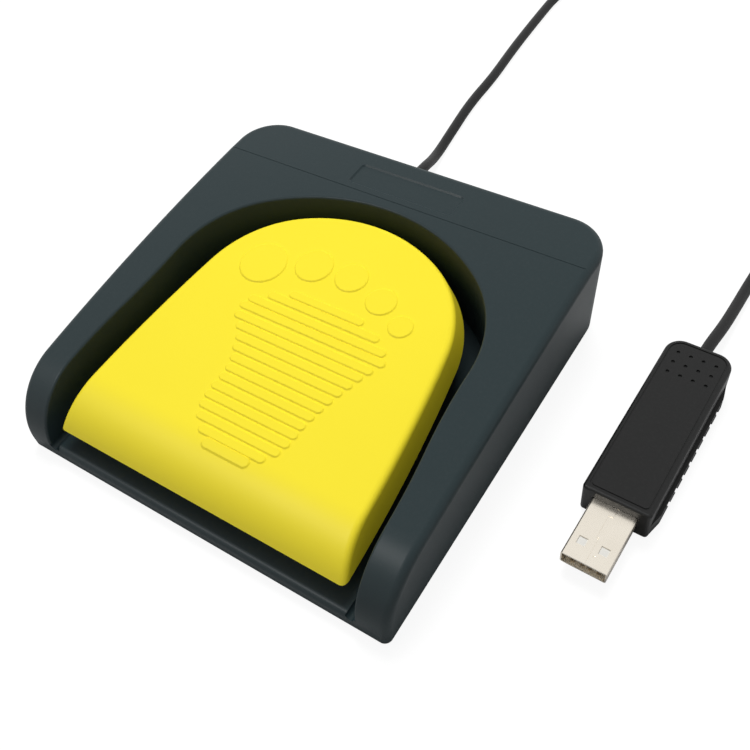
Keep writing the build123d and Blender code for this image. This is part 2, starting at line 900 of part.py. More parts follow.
# Ears, ribs, seats and hooks under the pedal, before they are trimmed to its shell
striker_foot = lever_pivot_height + lever_reach * tan(lever_tilt) + striker_gap
stop_foot = floor_height + stop_height + pedal_drop(stop_y + stop_rib_thickness) + 2 * gap
with BuildPart() as pedal_fittings:
    with BuildSketch(*[side.offset(x) for x in ear_places]):
        with Locations((pivot_y, pivot_height)):
            Circle(lug_width / 2 - gap)
            Rectangle(
                lug_width - 2 * gap,
                pedal_height - pivot_height,
                align=(Align.CENTER, Align.MIN),
            )
    extrude(amount=lug_thickness / 2, both=True)
    with BuildSketch(side):
        with Locations((contact_y, striker_foot + striker_thickness / 2)):
            Circle(striker_thickness / 2)
            Rectangle(striker_thickness, base_height, align=(Align.CENTER, Align.MIN))
    extrude(amount=striker_width / 2, both=True)
    with BuildSketch(bench.offset(spring_top)):
        with Locations(spring_places):
            Circle(spring_seat_radius)
    extrude(amount=base_height)
    with BuildSketch(bench.offset(spring_top)):
        with Locations(spring_places):
            Circle(spring_peg_radius)
    extrude(amount=-spring_peg_height)
    with BuildSketch(*[side.offset(x) for x, y in stop_places]):
        with Locations((stop_y, stop_foot)):
            Rectangle(stop_rib_thickness, base_height, align=(Align.CENTER, Align.MIN))
    extrude(amount=stop_rib_width / 2, both=True)
    with BuildSketch(*[side.offset(x) for x, y in catch_places]):
        with Locations((hook_y, hook_top - hook_height)):
            Rectangle(catch_thickness, base_height, align=(Align.MAX, Align.MIN))
            Rectangle(catch_thickness, hook_height, align=(Align.MAX, Align.MIN))
        with Locations((catch_y - 2 * gap, hook_top)):
            Rectangle(hook_gap + catch_nose, hook_height, align=(Align.MAX, Align.MAX))
    extrude(amount=(catch_width - 2 * gap) / 2, both=True)

    # Two long ribs that stiffen the top
    rib_x = board_width / 2 + 2 * rib_thickness
    with BuildSketch(side.offset(-rib_x), side.offset(rib_x)):
        with BuildLine():
            Polyline(
                (rib_front, underside(rib_front) - rib_depth),
                (rib_rear, underside(rib_rear) - rib_depth),
                (rib_rear, underside(rib_rear) + pedal_wall / 2),
                (rib_front, underside(rib_front) + pedal_wall / 2),
                close=True,
            )
        make_face()
    extrude(amount=rib_thickness / 2, both=True)
    add(pedal_block(pedal_wall / 2, 2 * overrun), mode=Mode.INTERSECT)

# Raised footprint: stripes across the sole and heel, and five toes
with BuildPart() as footprint:
    with BuildSketch(pedal_plane.offset(print_rise)):
        for y_share, left_share, right_share in stripe_shares:
            left, right = left_share * print_length, right_share * print_length
            with Locations(((left + right) / 2, print_heel + y_share * print_length)):
                SlotOverall(right - left, stripe_width)
        for x_share, y_share, radius_share in toe_shares:
            with Locations((x_share * print_length, print_heel + y_share * print_length)):
                Circle(radius_share * print_length)
    extrude(amount=-print_rise - pedal_wall / 2, taper=-print_slope)
    with BuildSketch(side):
        add(pedal_profile(-print_rise))
    extrude(amount=base_width, both=True, mode=Mode.INTERSECT)

# Pedal, a shell with a rounded heel end
with BuildPart() as pedal:
    add(pedal_block(0, 0))
    nose_end = front + pedal_nose_start + pedal_edge_radius
    pedal_edges = []
    for edge in pedal.edges():
        place, size = edge.center(), edge.bounding_box().size
        in_top = abs(pedal_plane.to_local_coords(place).Z) < slip
        at_nose = place.Y < nose_end
        if in_top and not (at_nose and abs(place.X) < slip):
            pedal_edges.append(edge)
        elif at_nose and abs(place.X) > pedal_shoulder_radius and size.Z > size.Y / 2:
            pedal_edges.append(edge)
    fillet(pedal_edges, pedal_edge_radius)
    add(pedal_block(pedal_wall, overrun), mode=Mode.SUBTRACT)
    add(pedal_fittings.part)
    with BuildSketch(side):
        with Locations((pivot_y, pivot_height)):
            Circle(rod_radius + running)
    extrude(amount=base_width, both=True, mode=Mode.SUBTRACT)
    add(footprint.part)

pedal.part.label = "pedal"
export_step(pedal.part, "parts/pedal.step")

# Hinge rod
with BuildPart() as hinge_rod:
    with BuildSketch(side):
        with Locations((pivot_y, pivot_height)):
            Circle(rod_radius)
    extrude(amount=lug_outer_x + rod_overhang, both=True)
    chamfer(hinge_rod.edges().filter_by(GeomType.CIRCLE), rod_radius / 4)

hinge_rod.part.label = "hinge_rod"
export_step(hinge_rod.part, "parts/hinge_rod.step")

# Return springs, each a coil of wire between the floor and its seat
spring_bottom = floor_height + spring_wire / 2 + slip
spring_height = spring_top - spring_wire / 2 - slip - spring_bottom
for name, (x, y) in zip(("return_spring_left", "return_spring_right"), spring_places):
    with BuildPart() as spring:
        with BuildLine() as wire_line:
            Helix(
                pitch=spring_height / spring_turns,
                height=spring_height,
                radius=spring_radius,
                center=bench.from_local_coords(Vector(x, y, spring_bottom)),
            )
        with BuildSketch(Plane(origin=wire_line.line @ 0, z_dir=wire_line.line % 0)):
            Circle(spring_wire / 2)
        sweep(path=wire_line.line, is_frenet=True)
    spring.part.label = name
    export_step(spring.part, f"parts/{name}.step")

# Rubber stop pads on the floor
with BuildPart() as stop_pads:
    with BuildSketch(bench.offset(floor_height)):
        with Locations(stop_places):
            Circle(stop_radius)
    extrude(amount=stop_height)
    fillet(stop_pads.edges().group_by(Axis.Z)[-1], foot_edge)

stop_pads.part.label = "stop_pads"
export_step(stop_pads.part, "parts/stop_pads.step")

# Switch board
with BuildPart() as switch_board:
    with BuildSketch(bench.offset(floor_height + board_height)):
        with Locations((0, board_rear)):
            Rectangle(board_width, board_length, align=(Align.CENTER, Align.MAX))
        with Locations(board_holes):
            Circle(board_screw_radius + gap, mode=Mode.SUBTRACT)
        with Locations(terminal_places):
            Rectangle(
                terminal_width + 2 * slip, terminal_thickness + 2 * slip, mode=Mode.SUBTRACT
            )
        with Locations((-wire_spread, wire_hole_y), (wire_spread, wire_hole_y)):
            Circle(wire_radius + slip, mode=Mode.SUBTRACT)
    extrude(amount=board_thickness)

switch_board.part.label = "switch_board"
export_step(switch_board.part, "parts/switch_board.step")

# Screws of the switch board
board_screw = pan_screw(
    board_screw_head_radius, board_screw_head_height, board_screw_radius, board_screw_length
)
with BuildPart() as board_screws:
    with Locations(*on_bench(board_holes, board_top + board_screw_head_height)):
        add(board_screw)

board_screws.part.label = "board_screws"
export_step(board_screws.part, "parts/board_screws.step")

# Base of the switch, which the terminals stand in
base_top = board_top + case_base_height
with BuildPart() as switch_base:
    with BuildSketch(bench.offset(board_top)):
        with Locations((0, case_middle)):
            Rectangle(case_width, case_length)
        with Locations(terminal_places):
            Rectangle(
                terminal_width + 2 * slip, terminal_thickness + 2 * slip, mode=Mode.SUBTRACT
            )
    extrude(amount=case_base_height)

switch_base.part.label = "switch_base"
export_step(switch_base.part, "parts/switch_base.step")

# Case of the switch, with the button's hole and two plates that carry the lever's pin
with BuildPart() as switch_case:
    with BuildSketch(bench.offset(base_top)):
        with Locations((0, case_middle)):
            Rectangle(case_width, case_length)
    extrude(amount=case_height - case_base_height)
    with BuildSketch(bench.offset(base_top)):
        with Locations((0, case_middle)):
            Rectangle(case_width - 2 * case_wall, case_length - 2 * case_wall)
    extrude(amount=case_height - case_base_height - case_wall, mode=Mode.SUBTRACT)
    with BuildSketch(bench.offset(case_top)):
        with Locations((0, lever_pivot_y + button_offset)):
            Circle(button_radius + slip)
    extrude(amount=-2 * case_wall, mode=Mode.SUBTRACT)
    plate_x = case_width / 2 - lug_plate / 2
    with BuildSketch(side.offset(-plate_x), side.offset(plate_x)):
        with Locations((lever_pivot_y, lever_pivot_height)):
            Circle(2 * lever_pin_radius)
            Rectangle(
                4 * lever_pin_radius,
                lever_pivot_rise + case_wall / 2,
                align=(Align.CENTER, Align.MAX),
            )
            Circle(lever_pin_radius + slip, mode=Mode.SUBTRACT)
    extrude(amount=lug_plate / 2, both=True)

switch_case.part.label = "switch_case"
export_step(switch_case.part, "parts/switch_case.step")

# Lever, a strip on a pin
lever_plane = Plane(
    origin=bench.from_local_coords(Vector(0, lever_pivot_y, lever_pivot_height)),
    x_dir=(0, cos(lever_tilt), sin(lever_tilt)),
    z_dir=(1, 0, 0),
)
with BuildPart() as switch_lever:
    with BuildSketch(lever_plane):
        Rectangle(lever_length, lever_thickness, align=(Align.MIN, Align.CENTER))
    extrude(amount=lever_width / 2, both=True)
    with BuildSketch(lever_plane):
        Circle(lever_pin_radius)
    extrude(amount=case_width / 2, both=True)

switch_lever.part.label = "switch_lever"
export_step(switch_lever.part, "parts/switch_lever.step")

# Button, whose skirt keeps it in the case
blade_height = base_top + (case_height - case_base_height) / 2
skirt_top = case_top - case_wall - 2 * slip
lever_over_button = button_offset * tan(lever_tilt) - lever_thickness / 2
button_top = lever_pivot_height + lever_over_button - striker_gap
with BuildPart() as switch_button:
    with BuildSketch(bench.offset(button_top)):
        with Locations((0, lever_pivot_y + button_offset)):
            Circle(button_radius)
    extrude(amount=blade_height + 2 * slip - button_top)
    fillet(switch_button.edges().group_by(Axis.Z)[-1], button_radius / 2)
    with BuildSketch(bench.offset(skirt_top)):
        with Locations((0, lever_pivot_y + button_offset)):
            Circle(button_radius + button_skirt)
    extrude(amount=-button_skirt_height)

switch_button.part.label = "switch_button"
export_step(switch_button.part, "parts/switch_button.step")

# Snap blade under the button
with BuildPart() as switch_blade:
    with BuildSketch(bench.offset(blade_height)):
        with Locations((0, case_middle)):
            Rectangle(case_width - 4 * case_wall, case_length - 4 * case_wall)
    extrude(amount=-blade_thickness)

switch_blade.part.label = "switch_blade"
export_step(switch_blade.part, "parts/switch_blade.step")

# Terminals from the switch down through the board. The middle one carries the blade.
with BuildPart() as switch_terminals:
    terminal_foot = floor_height + board_height - terminal_below
    blade_under = blade_height - blade_thickness
    terminal_tops = (blade_under - gap, blade_under, base_top + gap)
    for (x, y), top in zip(terminal_places, terminal_tops):
        with BuildSketch(bench.offset(terminal_foot)):
            with Locations((x, y)):
                Rectangle(terminal_width, terminal_thickness)
        extrude(amount=top - terminal_foot)

switch_terminals.part.label = "switch_terminals"
export_step(switch_terminals.part, "parts/switch_terminals.step")

# The two wires from the lead's jacket to the switch board
floor_line = floor_height + wire_radius + slip
hop = board_top + 2 * wire_diameter
for name, sign in (("wire_red", -1), ("wire_black", 1)):
    offset_x = sign * wire_spread
    points = [
        (exit_x + offset_x, jacket_end_y, exit_height),
        (exit_x + offset_x, base_depth - wire_route_margin, exit_height),
        (offset_x, board_rear + wire_route_middle, floor_line),
        (offset_x, board_rear + wire_route_front, floor_line),
        (offset_x, board_rear + wire_diameter, hop),
        (offset_x, wire_hole_y, hop),
        (offset_x, wire_hole_y, board_top - board_thickness),
    ]
    points = [bench.from_local_coords(Vector(*point)) for point in points]
    wire, wire_length = round_tube(points, wire_bend, wire_radius)
    wire.label = name
    export_step(wire, f"parts/{name}.step")

# Clamp bar over the lead, and its screws
with BuildPart() as cable_clamp:
    with BuildSketch(upright(exit_x, clamp_y)):
        with Locations((0, exit_height)):
            Rectangle(clamp_length, clamp_thickness, align=(Align.CENTER, Align.MIN))
            Circle(cord_radius + slip, mode=Mode.SUBTRACT)
    extrude(amount=clamp_width / 2, both=True)
    with BuildSketch(bench.offset(exit_height)):
        with Locations(clamp_holes):
            Circle(clamp_screw_radius + slip)
    extrude(amount=clamp_thickness, mode=Mode.SUBTRACT)

cable_clamp.part.label = "cable_clamp"
export_step(cable_clamp.part, "parts/cable_clamp.step")

clamp_screw = pan_screw(
    board_screw_head_radius,
    board_screw_head_height,
    clamp_screw_radius,
    clamp_thickness + clamp_screw_length - gap,
)
clamp_top = exit_height + clamp_thickness + board_screw_head_height
with BuildPart() as clamp_screws:
    with Locations(*on_bench(clamp_holes, clamp_top)):
        add(clamp_screw)

clamp_screws.part.label = "clamp_screws"
export_step(clamp_screws.part, "parts/clamp_screws.step")

# Strain relief: a neck in the wall's slot between two flanges, and a tapered sleeve
relief_plane = Plane(
    origin=bench.from_local_coords(Vector(exit_x, wall_face_y, exit_height)),
    x_dir=(0, 1, 0),
    z_dir=(1, 0, 0),
)
sleeve_radius = (relief_neck_radius + relief_flange_radius) / 2
sleeve_start = gap + relief_flange
sleeve_run = relief_length - relief_flange
with BuildPart() as strain_relief:
    with BuildSketch(relief_plane):
        with BuildLine():
            bore = cord_radius + slip
            inner_face = -base_wall - gap
            Polyline(
                (inner_face - relief_flange, bore),
                (inner_face - relief_flange, relief_flange_radius),
                (inner_face, relief_flange_radius),
                (inner_face, relief_neck_radius),
                (gap, relief_neck_radius),
                (gap, relief_flange_radius),
                (sleeve_start, relief_flange_radius),
                (sleeve_start, sleeve_radius),
                (gap + relief_length, relief_tip_radius),
                (gap + relief_length, bore),
                close=True,
            )
        make_face()
    revolve(axis=Axis(relief_plane.origin, (0, 1, 0)))
    ring_pitch = sleeve_run / (relief_grooves + 1)
    for ring in range(relief_grooves):
        place = sleeve_start + ring_pitch * (ring + 1)
        along = (ring + 1) / (relief_grooves + 1)
        outer = sleeve_radius - (sleeve_radius - relief_tip_radius) * along
        with BuildSketch(upright(exit_x, wall_face_y + place)):
            with Locations((0, exit_height)):
                Circle(sleeve_radius + gap)
                Circle(outer - relief_groove, mode=Mode.SUBTRACT)
        extrude(amount=ring_pitch / 4, both=True, mode=Mode.SUBTRACT)

strain_relief.part.label = "strain_relief"
export_step(strain_relief.part, "parts/strain_relief.step")

# The end of the lead inside the relief and the clamp
with BuildPart() as inner_cable:
    with BuildSketch(upright(exit_x, relief_end_y)):
        with Locations((0, exit_height)):
            Circle(cord_radius)
    extrude(amount=relief_end_y - jacket_end_y)

inner_cable.part.label = "inner_cable"
export_step(inner_cable.part, "parts/inner_cable.step")

# The lead's coil: where its centre line is after a number of quarter turns, and which
# way it runs there
coil_pitch = cord_diameter + coil_clear
coil_quarters = coil_layers * layer_quarters + 1


def coil_node(quarter):
    layer, along = divmod(quarter, layer_quarters)
    reversal = along == 0 and 0 < layer < coil_layers
    if layer == coil_layers:
        inward, layer, level = -along, layer - 1, layer - 1
    else:
        inward = layer_quarters - along if layer % 2 else along
        level = layer - 1 / 2 if reversal else layer
    still = reversal or quarter in (0, coil_quarters)
    drift = 0 if still else coil_pitch / 4 * (1 if layer % 2 else -1)
    climb = coil_pitch / 2 if reversal else 0
    reach = coil_radius - coil_pitch / 4 * inward
    angle = pi / 2 * (1 - quarter)
    place = Vector(
        coil_x + reach * cos(angle), coil_y + reach * sin(angle), cord_radius + coil_pitch * level
    )
    heading = Vector(
        drift * cos(angle) + reach * pi / 2 * sin(angle),
        drift * sin(angle) - reach * pi / 2 * cos(angle),
        climb,
    )
    return place, heading.normalized()


# Coil of the lead, one unbroken tube along two arcs for each quarter turn
coil_entry = coil_node(0)[0]
coil_exit = coil_node(coil_quarters)[0]
coil_start = coil_entry - Vector(cord_diameter, 0, 0)
coil_end = coil_exit - Vector(0, cord_diameter, 0)
with BuildPart() as cord_coil:
    with BuildLine() as coil_line:
        Line(coil_start, coil_entry)
        for quarter in range(coil_quarters):
            start, start_way = coil_node(quarter)
            end, end_way = coil_node(quarter + 1)
            span = end - start
            ways = start_way + end_way
            spare = 4 - ways.dot(ways)
            lean = span.dot(ways)
            reach = (sqrt(lean**2 + spare * span.dot(span)) - lean) / spare
            middle = (start + start_way * reach + end - end_way * reach) / 2
            middle_way = (end - end_way * reach - start - start_way * reach).normalized()
            TangentArc(start, middle, tangent=start_way)
            TangentArc(middle, end, tangent=middle_way)
        Line(coil_exit, coil_end)
    with BuildSketch(Plane(origin=coil_start, z_dir=(1, 0, 0))):
        Circle(cord_radius)
    sweep(path=coil_line.line)

cord_coil.part.label = "cord_coil"
export_step(cord_coil.part, "parts/cord_coil.step")

# Lead from the base to the coil
exit_start = bench.from_local_coords(Vector(exit_x, relief_end_y, exit_height))
first_points = [exit_start, exit_start + Vector(0, exit_run, 0)]
first_points += [Vector(*point) for point in base_route] + [coil_start]
first_radii = bend_radii(first_points)
cord_from_base, first_length = round_tube(first_points, first_radii, cord_radius)
cord_from_base.label = "cord_from_base"
export_step(cord_from_base, "parts/cord_from_base.step")

# Lead from the coil to the plug
turn = radians(plug_turn)
plug_way = Vector(sin(turn), cos(turn), 0)
plug_plane = Plane(origin=(plug_x, plug_front, 0), x_dir=(cos(turn), -sin(turn), 0))
plug_end = plug_plane.from_local_coords(Vector(0, plug_length, plug_thickness / 2))
second_points = [coil_end] + [Vector(*point) for point in plug_route]
second_points += [plug_end + plug_way * plug_exit_run, plug_end]
second_radii = bend_radii(second_points)
cord_to_plug, second_length = round_tube(second_points, second_radii, cord_radius)
cord_to_plug.label = "cord_to_plug"
export_step(cord_to_plug, "parts/cord_to_plug.step")

# What the lead measures: its bends, its volume against its length, and how near the
# coil comes to itself
coil_length = sum(edge.length for edge in coil_line.edges())
section = pi * cord_radius**2
print("bends from the base", [round(radius, 1) for radius in first_radii])
print("bends to the plug", [round(radius, 1) for radius in second_radii])
for name, tube, length in (
    ("cord_from_base", cord_from_base, first_length),
    ("cord_coil", cord_coil.part, coil_length),
    ("cord_to_plug", cord_to_plug, second_length),
):
    share = tube.volume / section / length
    print(name, "length", round(length, 1), "volume share", round(share, 4))
coil_samples = []
travelled = 0
for edge in coil_line.edges():
    for step in range(coil_steps):
        share = step / coil_steps
        coil_samples.append((travelled + edge.length * share, edge @ share))
    travelled += edge.length
near = pi * cord_diameter
least = min(
    hypot(a.X - b.X, a.Y - b.Y, a.Z - b.Z)
    for i, (here, a) in enumerate(coil_samples)
    for there, b in coil_samples[i + 1 :]
    if there - here > near
)
print("least gap in the coil", round(least - cord_diameter, 2))
lead_length = relief_end_y - jacket_end_y + first_length + coil_length + second_length
print("lead from the clamp to the plug", round(lead_length, 1))

# Outline of the plug housing, seen from above, its front at y zero
plug_half = plug_width / 2
plug_middle = plug_thickness / 2


def plug_outline(inset):
    with BuildSketch() as outline:
        with Locations((0, inset)):
            Rectangle(
                plug_width - 2 * inset,
                plug_length - 2 * inset,
                align=(Align.CENTER, Align.MIN),
            )
        fillet(outline.vertices().group_by(Axis.Y)[-1], plug_rear_radius - inset)
        fillet(outline.vertices().group_by(Axis.Y)[0], plug_front_radius)
    return outline.sketch


# Front opening for the metal shell and rear opening for the lead
plug_face = Plane(origin=plug_plane.origin, x_dir=plug_plane.x_dir, z_dir=-plug_way)
opening_reach = plug_wall + gap
with BuildPart() as plug_openings:
    with BuildSketch(plug_face):
        with Locations((0, plug_middle)):
            Rectangle(shell_width + 2 * slip, shell_height + 2 * slip)
    extrude(amount=opening_reach, both=True)
    with BuildSketch(plug_face.offset(-plug_length)):
        with Locations((0, plug_middle)):
            Circle(cord_radius + slip)
    extrude(amount=opening_reach, both=True)

# Lower half of the plug housing, with slanted grip grooves and rails for the board
board_start = shell_hold + gap
board_end = plug_length - plug_board_rear_gap
plug_board_length = board_end - board_start
plug_board_width = plug_width - 2 * (plug_wall + plug_board_space)
rail_x = plug_half - plug_wall - rail_width / 2
ledge_end = plug_length - plug_rear_radius
ledge_places = [
    (plug_half - plug_wall / 2, plug_front_radius),
    (plug_half, plug_front_radius),
    (plug_half + plug_ledge, plug_front_radius + plug_ledge_taper),
    (plug_half + plug_ledge, ledge_end - plug_ledge_taper),
    (plug_half, ledge_end),
    (plug_half - plug_wall / 2, ledge_end),
]
with BuildPart() as plug_lower_shell:
    with BuildSketch(plug_plane):
        add(plug_outline(0))
        for sign in (-1, 1):
            with BuildLine():
                Polyline(*[(sign * x, y) for x, y in ledge_places], close=True)
            make_face()
    extrude(amount=plug_parting)
    fillet(plug_lower_shell.edges().group_by(Axis.Z)[0], plug_edge_radius)
    grips = [
        (plug_length - grip_from_rear - grip_pitch * step, 0) for step in range(grip_count)
    ]
    for sign in (-1, 1):
        wall_x = sign * (plug_half + plug_ledge)
        wall_place = plug_plane.from_local_coords(Vector(wall_x, 0, 0))
        with BuildSketch(Plane(origin=wall_place, x_dir=plug_way, z_dir=plug_plane.x_dir)):
            with Locations(*grips):
                Rectangle(grip_width, 2 * grip_height, rotation=grip_slant)
        extrude(amount=grip_depth, both=True, mode=Mode.SUBTRACT)
    with BuildSketch(plug_plane.offset(plug_wall)):
        add(plug_outline(plug_wall))
    extrude(amount=plug_parting, mode=Mode.SUBTRACT)
    with BuildSketch(plug_plane.offset(plug_wall / 2)):
        with Locations((-rail_x, board_start), (rail_x, board_start)):
            Rectangle(rail_width, plug_board_length, align=(Align.CENTER, Align.MIN))
    extrude(amount=plug_board_height - plug_wall / 2)
    add(plug_openings.part, mode=Mode.SUBTRACT)

plug_lower_shell.part.label = "plug_lower_shell"
export_step(plug_lower_shell.part, "parts/plug_lower_shell.step")

# Upper half of the plug housing, with a grooved line round its top, small dimples
# and posts that hold the board down
board_over = plug_board_height + plug_board_thickness
post_x = plug_board_width / 2 - post_radius
post_places = [
    (sign * post_x, y)
    for y in (board_start + 2 * post_radius, board_end - 2 * post_radius)
    for sign in (-1, 1)
]
with BuildPart() as plug_upper_shell:
    with BuildSketch(plug_plane.offset(plug_parting)):
        add(plug_outline(0))
    extrude(amount=plug_thickness - plug_parting)
    fillet(plug_upper_shell.edges().group_by(Axis.Z)[-1], plug_edge_radius)
    with BuildSketch(plug_plane.offset(plug_thickness)):
        add(plug_outline(plug_plate_inset))
        add(plug_outline(plug_plate_inset + plug_plate_groove), mode=Mode.SUBTRACT)
    extrude(amount=-plug_plate_groove / 2, mode=Mode.SUBTRACT)
    dimple_y = plug_length - dimple_from_rear - dimple_pitch_y * (dimple_rows - 1) / 2
    with BuildSketch(plug_plane.offset(plug_thickness)):
        with Locations((0, dimple_y)):
            with GridLocations(dimple_pitch_x, dimple_pitch_y, dimple_columns, dimple_rows):
                Circle(dimple_radius)
    extrude(amount=-dimple_depth, mode=Mode.SUBTRACT)
    with BuildSketch(plug_plane.offset(plug_parting)):
        add(plug_outline(plug_wall))
    extrude(amount=plug_thickness - plug_parting - plug_wall, mode=Mode.SUBTRACT)
    with BuildSketch(plug_plane.offset(board_over)):
        with Locations(post_places):
            Circle(post_radius)
    extrude(amount=plug_thickness - plug_wall / 2 - board_over)
    add(plug_openings.part, mode=Mode.SUBTRACT)

plug_upper_shell.part.label = "plug_upper_shell"
export_step(plug_upper_shell.part, "parts/plug_upper_shell.step")

# Metal shell of the plug with its two pairs of windows
with BuildPart() as usb_shell:
    with BuildSketch(plug_face.offset(-shell_hold)):
        with Locations((0, plug_middle)):
            RectangleRounded(shell_width, shell_height, shell_corner)
            RectangleRounded(
                shell_width - 2 * shell_wall,
                shell_height - 2 * shell_wall,
                shell_corner - shell_wall,
                mode=Mode.SUBTRACT,
            )
    extrude(amount=shell_hold + shell_reach)
    window_y = -shell_reach + window_from_mouth
    with BuildSketch(plug_plane):
        with Locations((-window_x, window_y), (window_x, window_y)):
            Rectangle(window_size, window_size)
    extrude(amount=plug_thickness, mode=Mode.SUBTRACT)

    # The stepped seam along its top, and a small round mark beside it
    with BuildSketch(plug_plane.offset(plug_middle + shell_height / 2)):
        for x, start, end in seam_runs:
            with Locations((x, -start)):
                Rectangle(seam_width, end - start, align=(Align.CENTER, Align.MAX))
        for near_run, far_run in zip(seam_runs, seam_runs[1:]):
            with Locations(((near_run[0] + far_run[0]) / 2, -far_run[1])):
                Rectangle(abs(near_run[0] - far_run[0]) + seam_width, seam_width)
        with Locations((mark_x, mark_from_mouth - shell_reach)):
            Circle(mark_radius)
    extrude(amount=-seam_depth, mode=Mode.SUBTRACT)

usb_shell.part.label = "usb_shell"
export_step(usb_shell.part, "parts/usb_shell.step")

# Tongue inside the shell
inner_top = plug_middle + shell_height / 2 - shell_wall
tongue_bottom = inner_top - tongue_thickness
tongue_front = -shell_reach + tongue_back
with BuildPart() as usb_tongue:
    with BuildSketch(plug_plane.offset(tongue_bottom)):
        with Locations((0, tongue_front)):
            Rectangle(tongue_width, shell_hold - tongue_front, align=(Align.CENTER, Align.MIN))
    extrude(amount=tongue_thickness)

usb_tongue.part.label = "usb_tongue"
export_step(usb_tongue.part, "parts/usb_tongue.step")

# Contact strips under the tongue, out to the underside of the board
pin_front = -shell_reach + pin_from_mouth
pin_places = [(sign * x, pin_front) for x in (pin_outer_x, pin_inner_x) for sign in (-1, 1)]
with BuildPart() as usb_contacts:
    with BuildSketch(plug_plane.offset(tongue_bottom)):
        with Locations(pin_places):
            Rectangle(
                pin_width, board_start + pin_tail - pin_front, align=(Align.CENTER, Align.MIN)
            )
    extrude(amount=-pin_thickness)

usb_contacts.part.label = "usb_contacts"
export_step(usb_contacts.part, "parts/usb_contacts.step")

# Controller board in the plug
wire_end = board_end - plug_wire_inset
with BuildPart() as plug_board:
    with BuildSketch(plug_plane.offset(plug_board_height)):
        with Locations((0, board_start)):
            Rectangle(plug_board_width, plug_board_length, align=(Align.CENTER, Align.MIN))
        with Locations((-wire_spread, wire_end), (wire_spread, wire_end)):
            Circle(wire_radius + slip, mode=Mode.SUBTRACT)
    extrude(amount=plug_board_thickness)

plug_board.part.label = "plug_board"
export_step(plug_board.part, "parts/plug_board.step")

# Controller chip with its bent leads
chip_place = plug_plane.from_local_coords(Vector(0, chip_y, board_over))
chip_plane = Plane(origin=chip_place, x_dir=plug_plane.x_dir)
lead_height = chip_height / 2
with BuildPart() as controller_chip:
    with BuildSketch(chip_plane.offset(slip)):
        Rectangle(chip_width, chip_length)
    extrude(amount=chip_height)
    lead_ys = [chip_lead_pitch * (step - (chip_leads - 1) / 2) for step in range(chip_leads)]
    chip_face = Plane(origin=chip_place, x_dir=chip_plane.x_dir, z_dir=-plug_way)
    with BuildSketch(*[chip_face.offset(y) for y in lead_ys]):
        for sign, near_side in ((-1, Align.MAX), (1, Align.MIN)):
            with Locations((sign * chip_width / 2, lead_height)):
                Rectangle(
                    chip_lead_reach / 2, chip_lead_thickness, align=(near_side, Align.MIN)
                )
            with Locations((sign * (chip_width + chip_lead_reach) / 2, 0)):
                far_side = Align.MIN if sign < 0 else Align.MAX
                Rectangle(
                    chip_lead_thickness,
                    lead_height + chip_lead_thickness,
                    align=(far_side, Align.MIN),
                )
                Rectangle(
                    chip_lead_reach / 2, chip_lead_thickness, align=(near_side, Align.MIN)
                )
    extrude(amount=chip_lead_width / 2, both=True)

controller_chip.part.label = "controller_chip"
export_step(controller_chip.part, "parts/controller_chip.step")

# Clock crystal
with BuildPart() as clock_crystal:
    with BuildSketch(plug_plane.offset(board_over)):
        with Locations((0, crystal_y)):
            Rectangle(crystal_length, crystal_width)
    extrude(amount=crystal_height)
    fillet(clock_crystal.edges().filter_by(Axis.Z), crystal_height / 4)

clock_crystal.part.label = "clock_crystal"
export_step(clock_crystal.part, "parts/clock_crystal.step")

# Small resistors and capacitors on the board
with BuildPart() as board_parts:
    with BuildSketch(plug_plane.offset(board_over)):
        with Locations(part_places):
            Rectangle(part_width, part_length)
    extrude(amount=part_height)

board_parts.part.label = "board_parts"
export_step(board_parts.part, "parts/board_parts.step")

# The end of the lead inside the plug, and the ring crimped on it behind the wall
with BuildPart() as plug_inner_cable:
    with BuildSketch(plug_face.offset(-plug_length)):
        with Locations((0, plug_middle)):
            Circle(cord_radius)
    extrude(amount=plug_jacket_length)

plug_inner_cable.part.label = "plug_inner_cable"
export_step(plug_inner_cable.part, "parts/plug_inner_cable.step")

with BuildPart() as crimp_ring:
    with BuildSketch(plug_face.offset(opening_reach - plug_length)):
        with Locations((0, plug_middle)):
            Circle(cord_radius + slip + crimp_wall)
            Circle(cord_radius + slip, mode=Mode.SUBTRACT)
    extrude(amount=crimp_length)

crimp_ring.part.label = "crimp_ring"
export_step(crimp_ring.part, "parts/crimp_ring.step")

# The two wires from the lead to the plug's board
wire_over = board_over + wire_diameter
jacket_end = plug_length - plug_jacket_length
wire_bend_y = jacket_end - plug_wire_straight
for name, sign in (("plug_wire_red", -1), ("plug_wire_black", 1)):
    offset_x = sign * wire_spread
    points = [
        (offset_x, jacket_end, plug_middle),
        (offset_x, wire_bend_y, plug_middle),
        (offset_x, wire_bend_y - plug_wire_rise, wire_over),
        (offset_x, wire_end, wire_over),
        (offset_x, wire_end, plug_board_height),
    ]
    points = [plug_plane.from_local_coords(Vector(*point)) for point in points]
    wire, wire_length = round_tube(points, wire_bend - 2 * slip, wire_radius)
    wire.label = name
    export_step(wire, f"parts/{name}.step")
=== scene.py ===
import json
import math

import bpy
from mathutils import Matrix, Vector


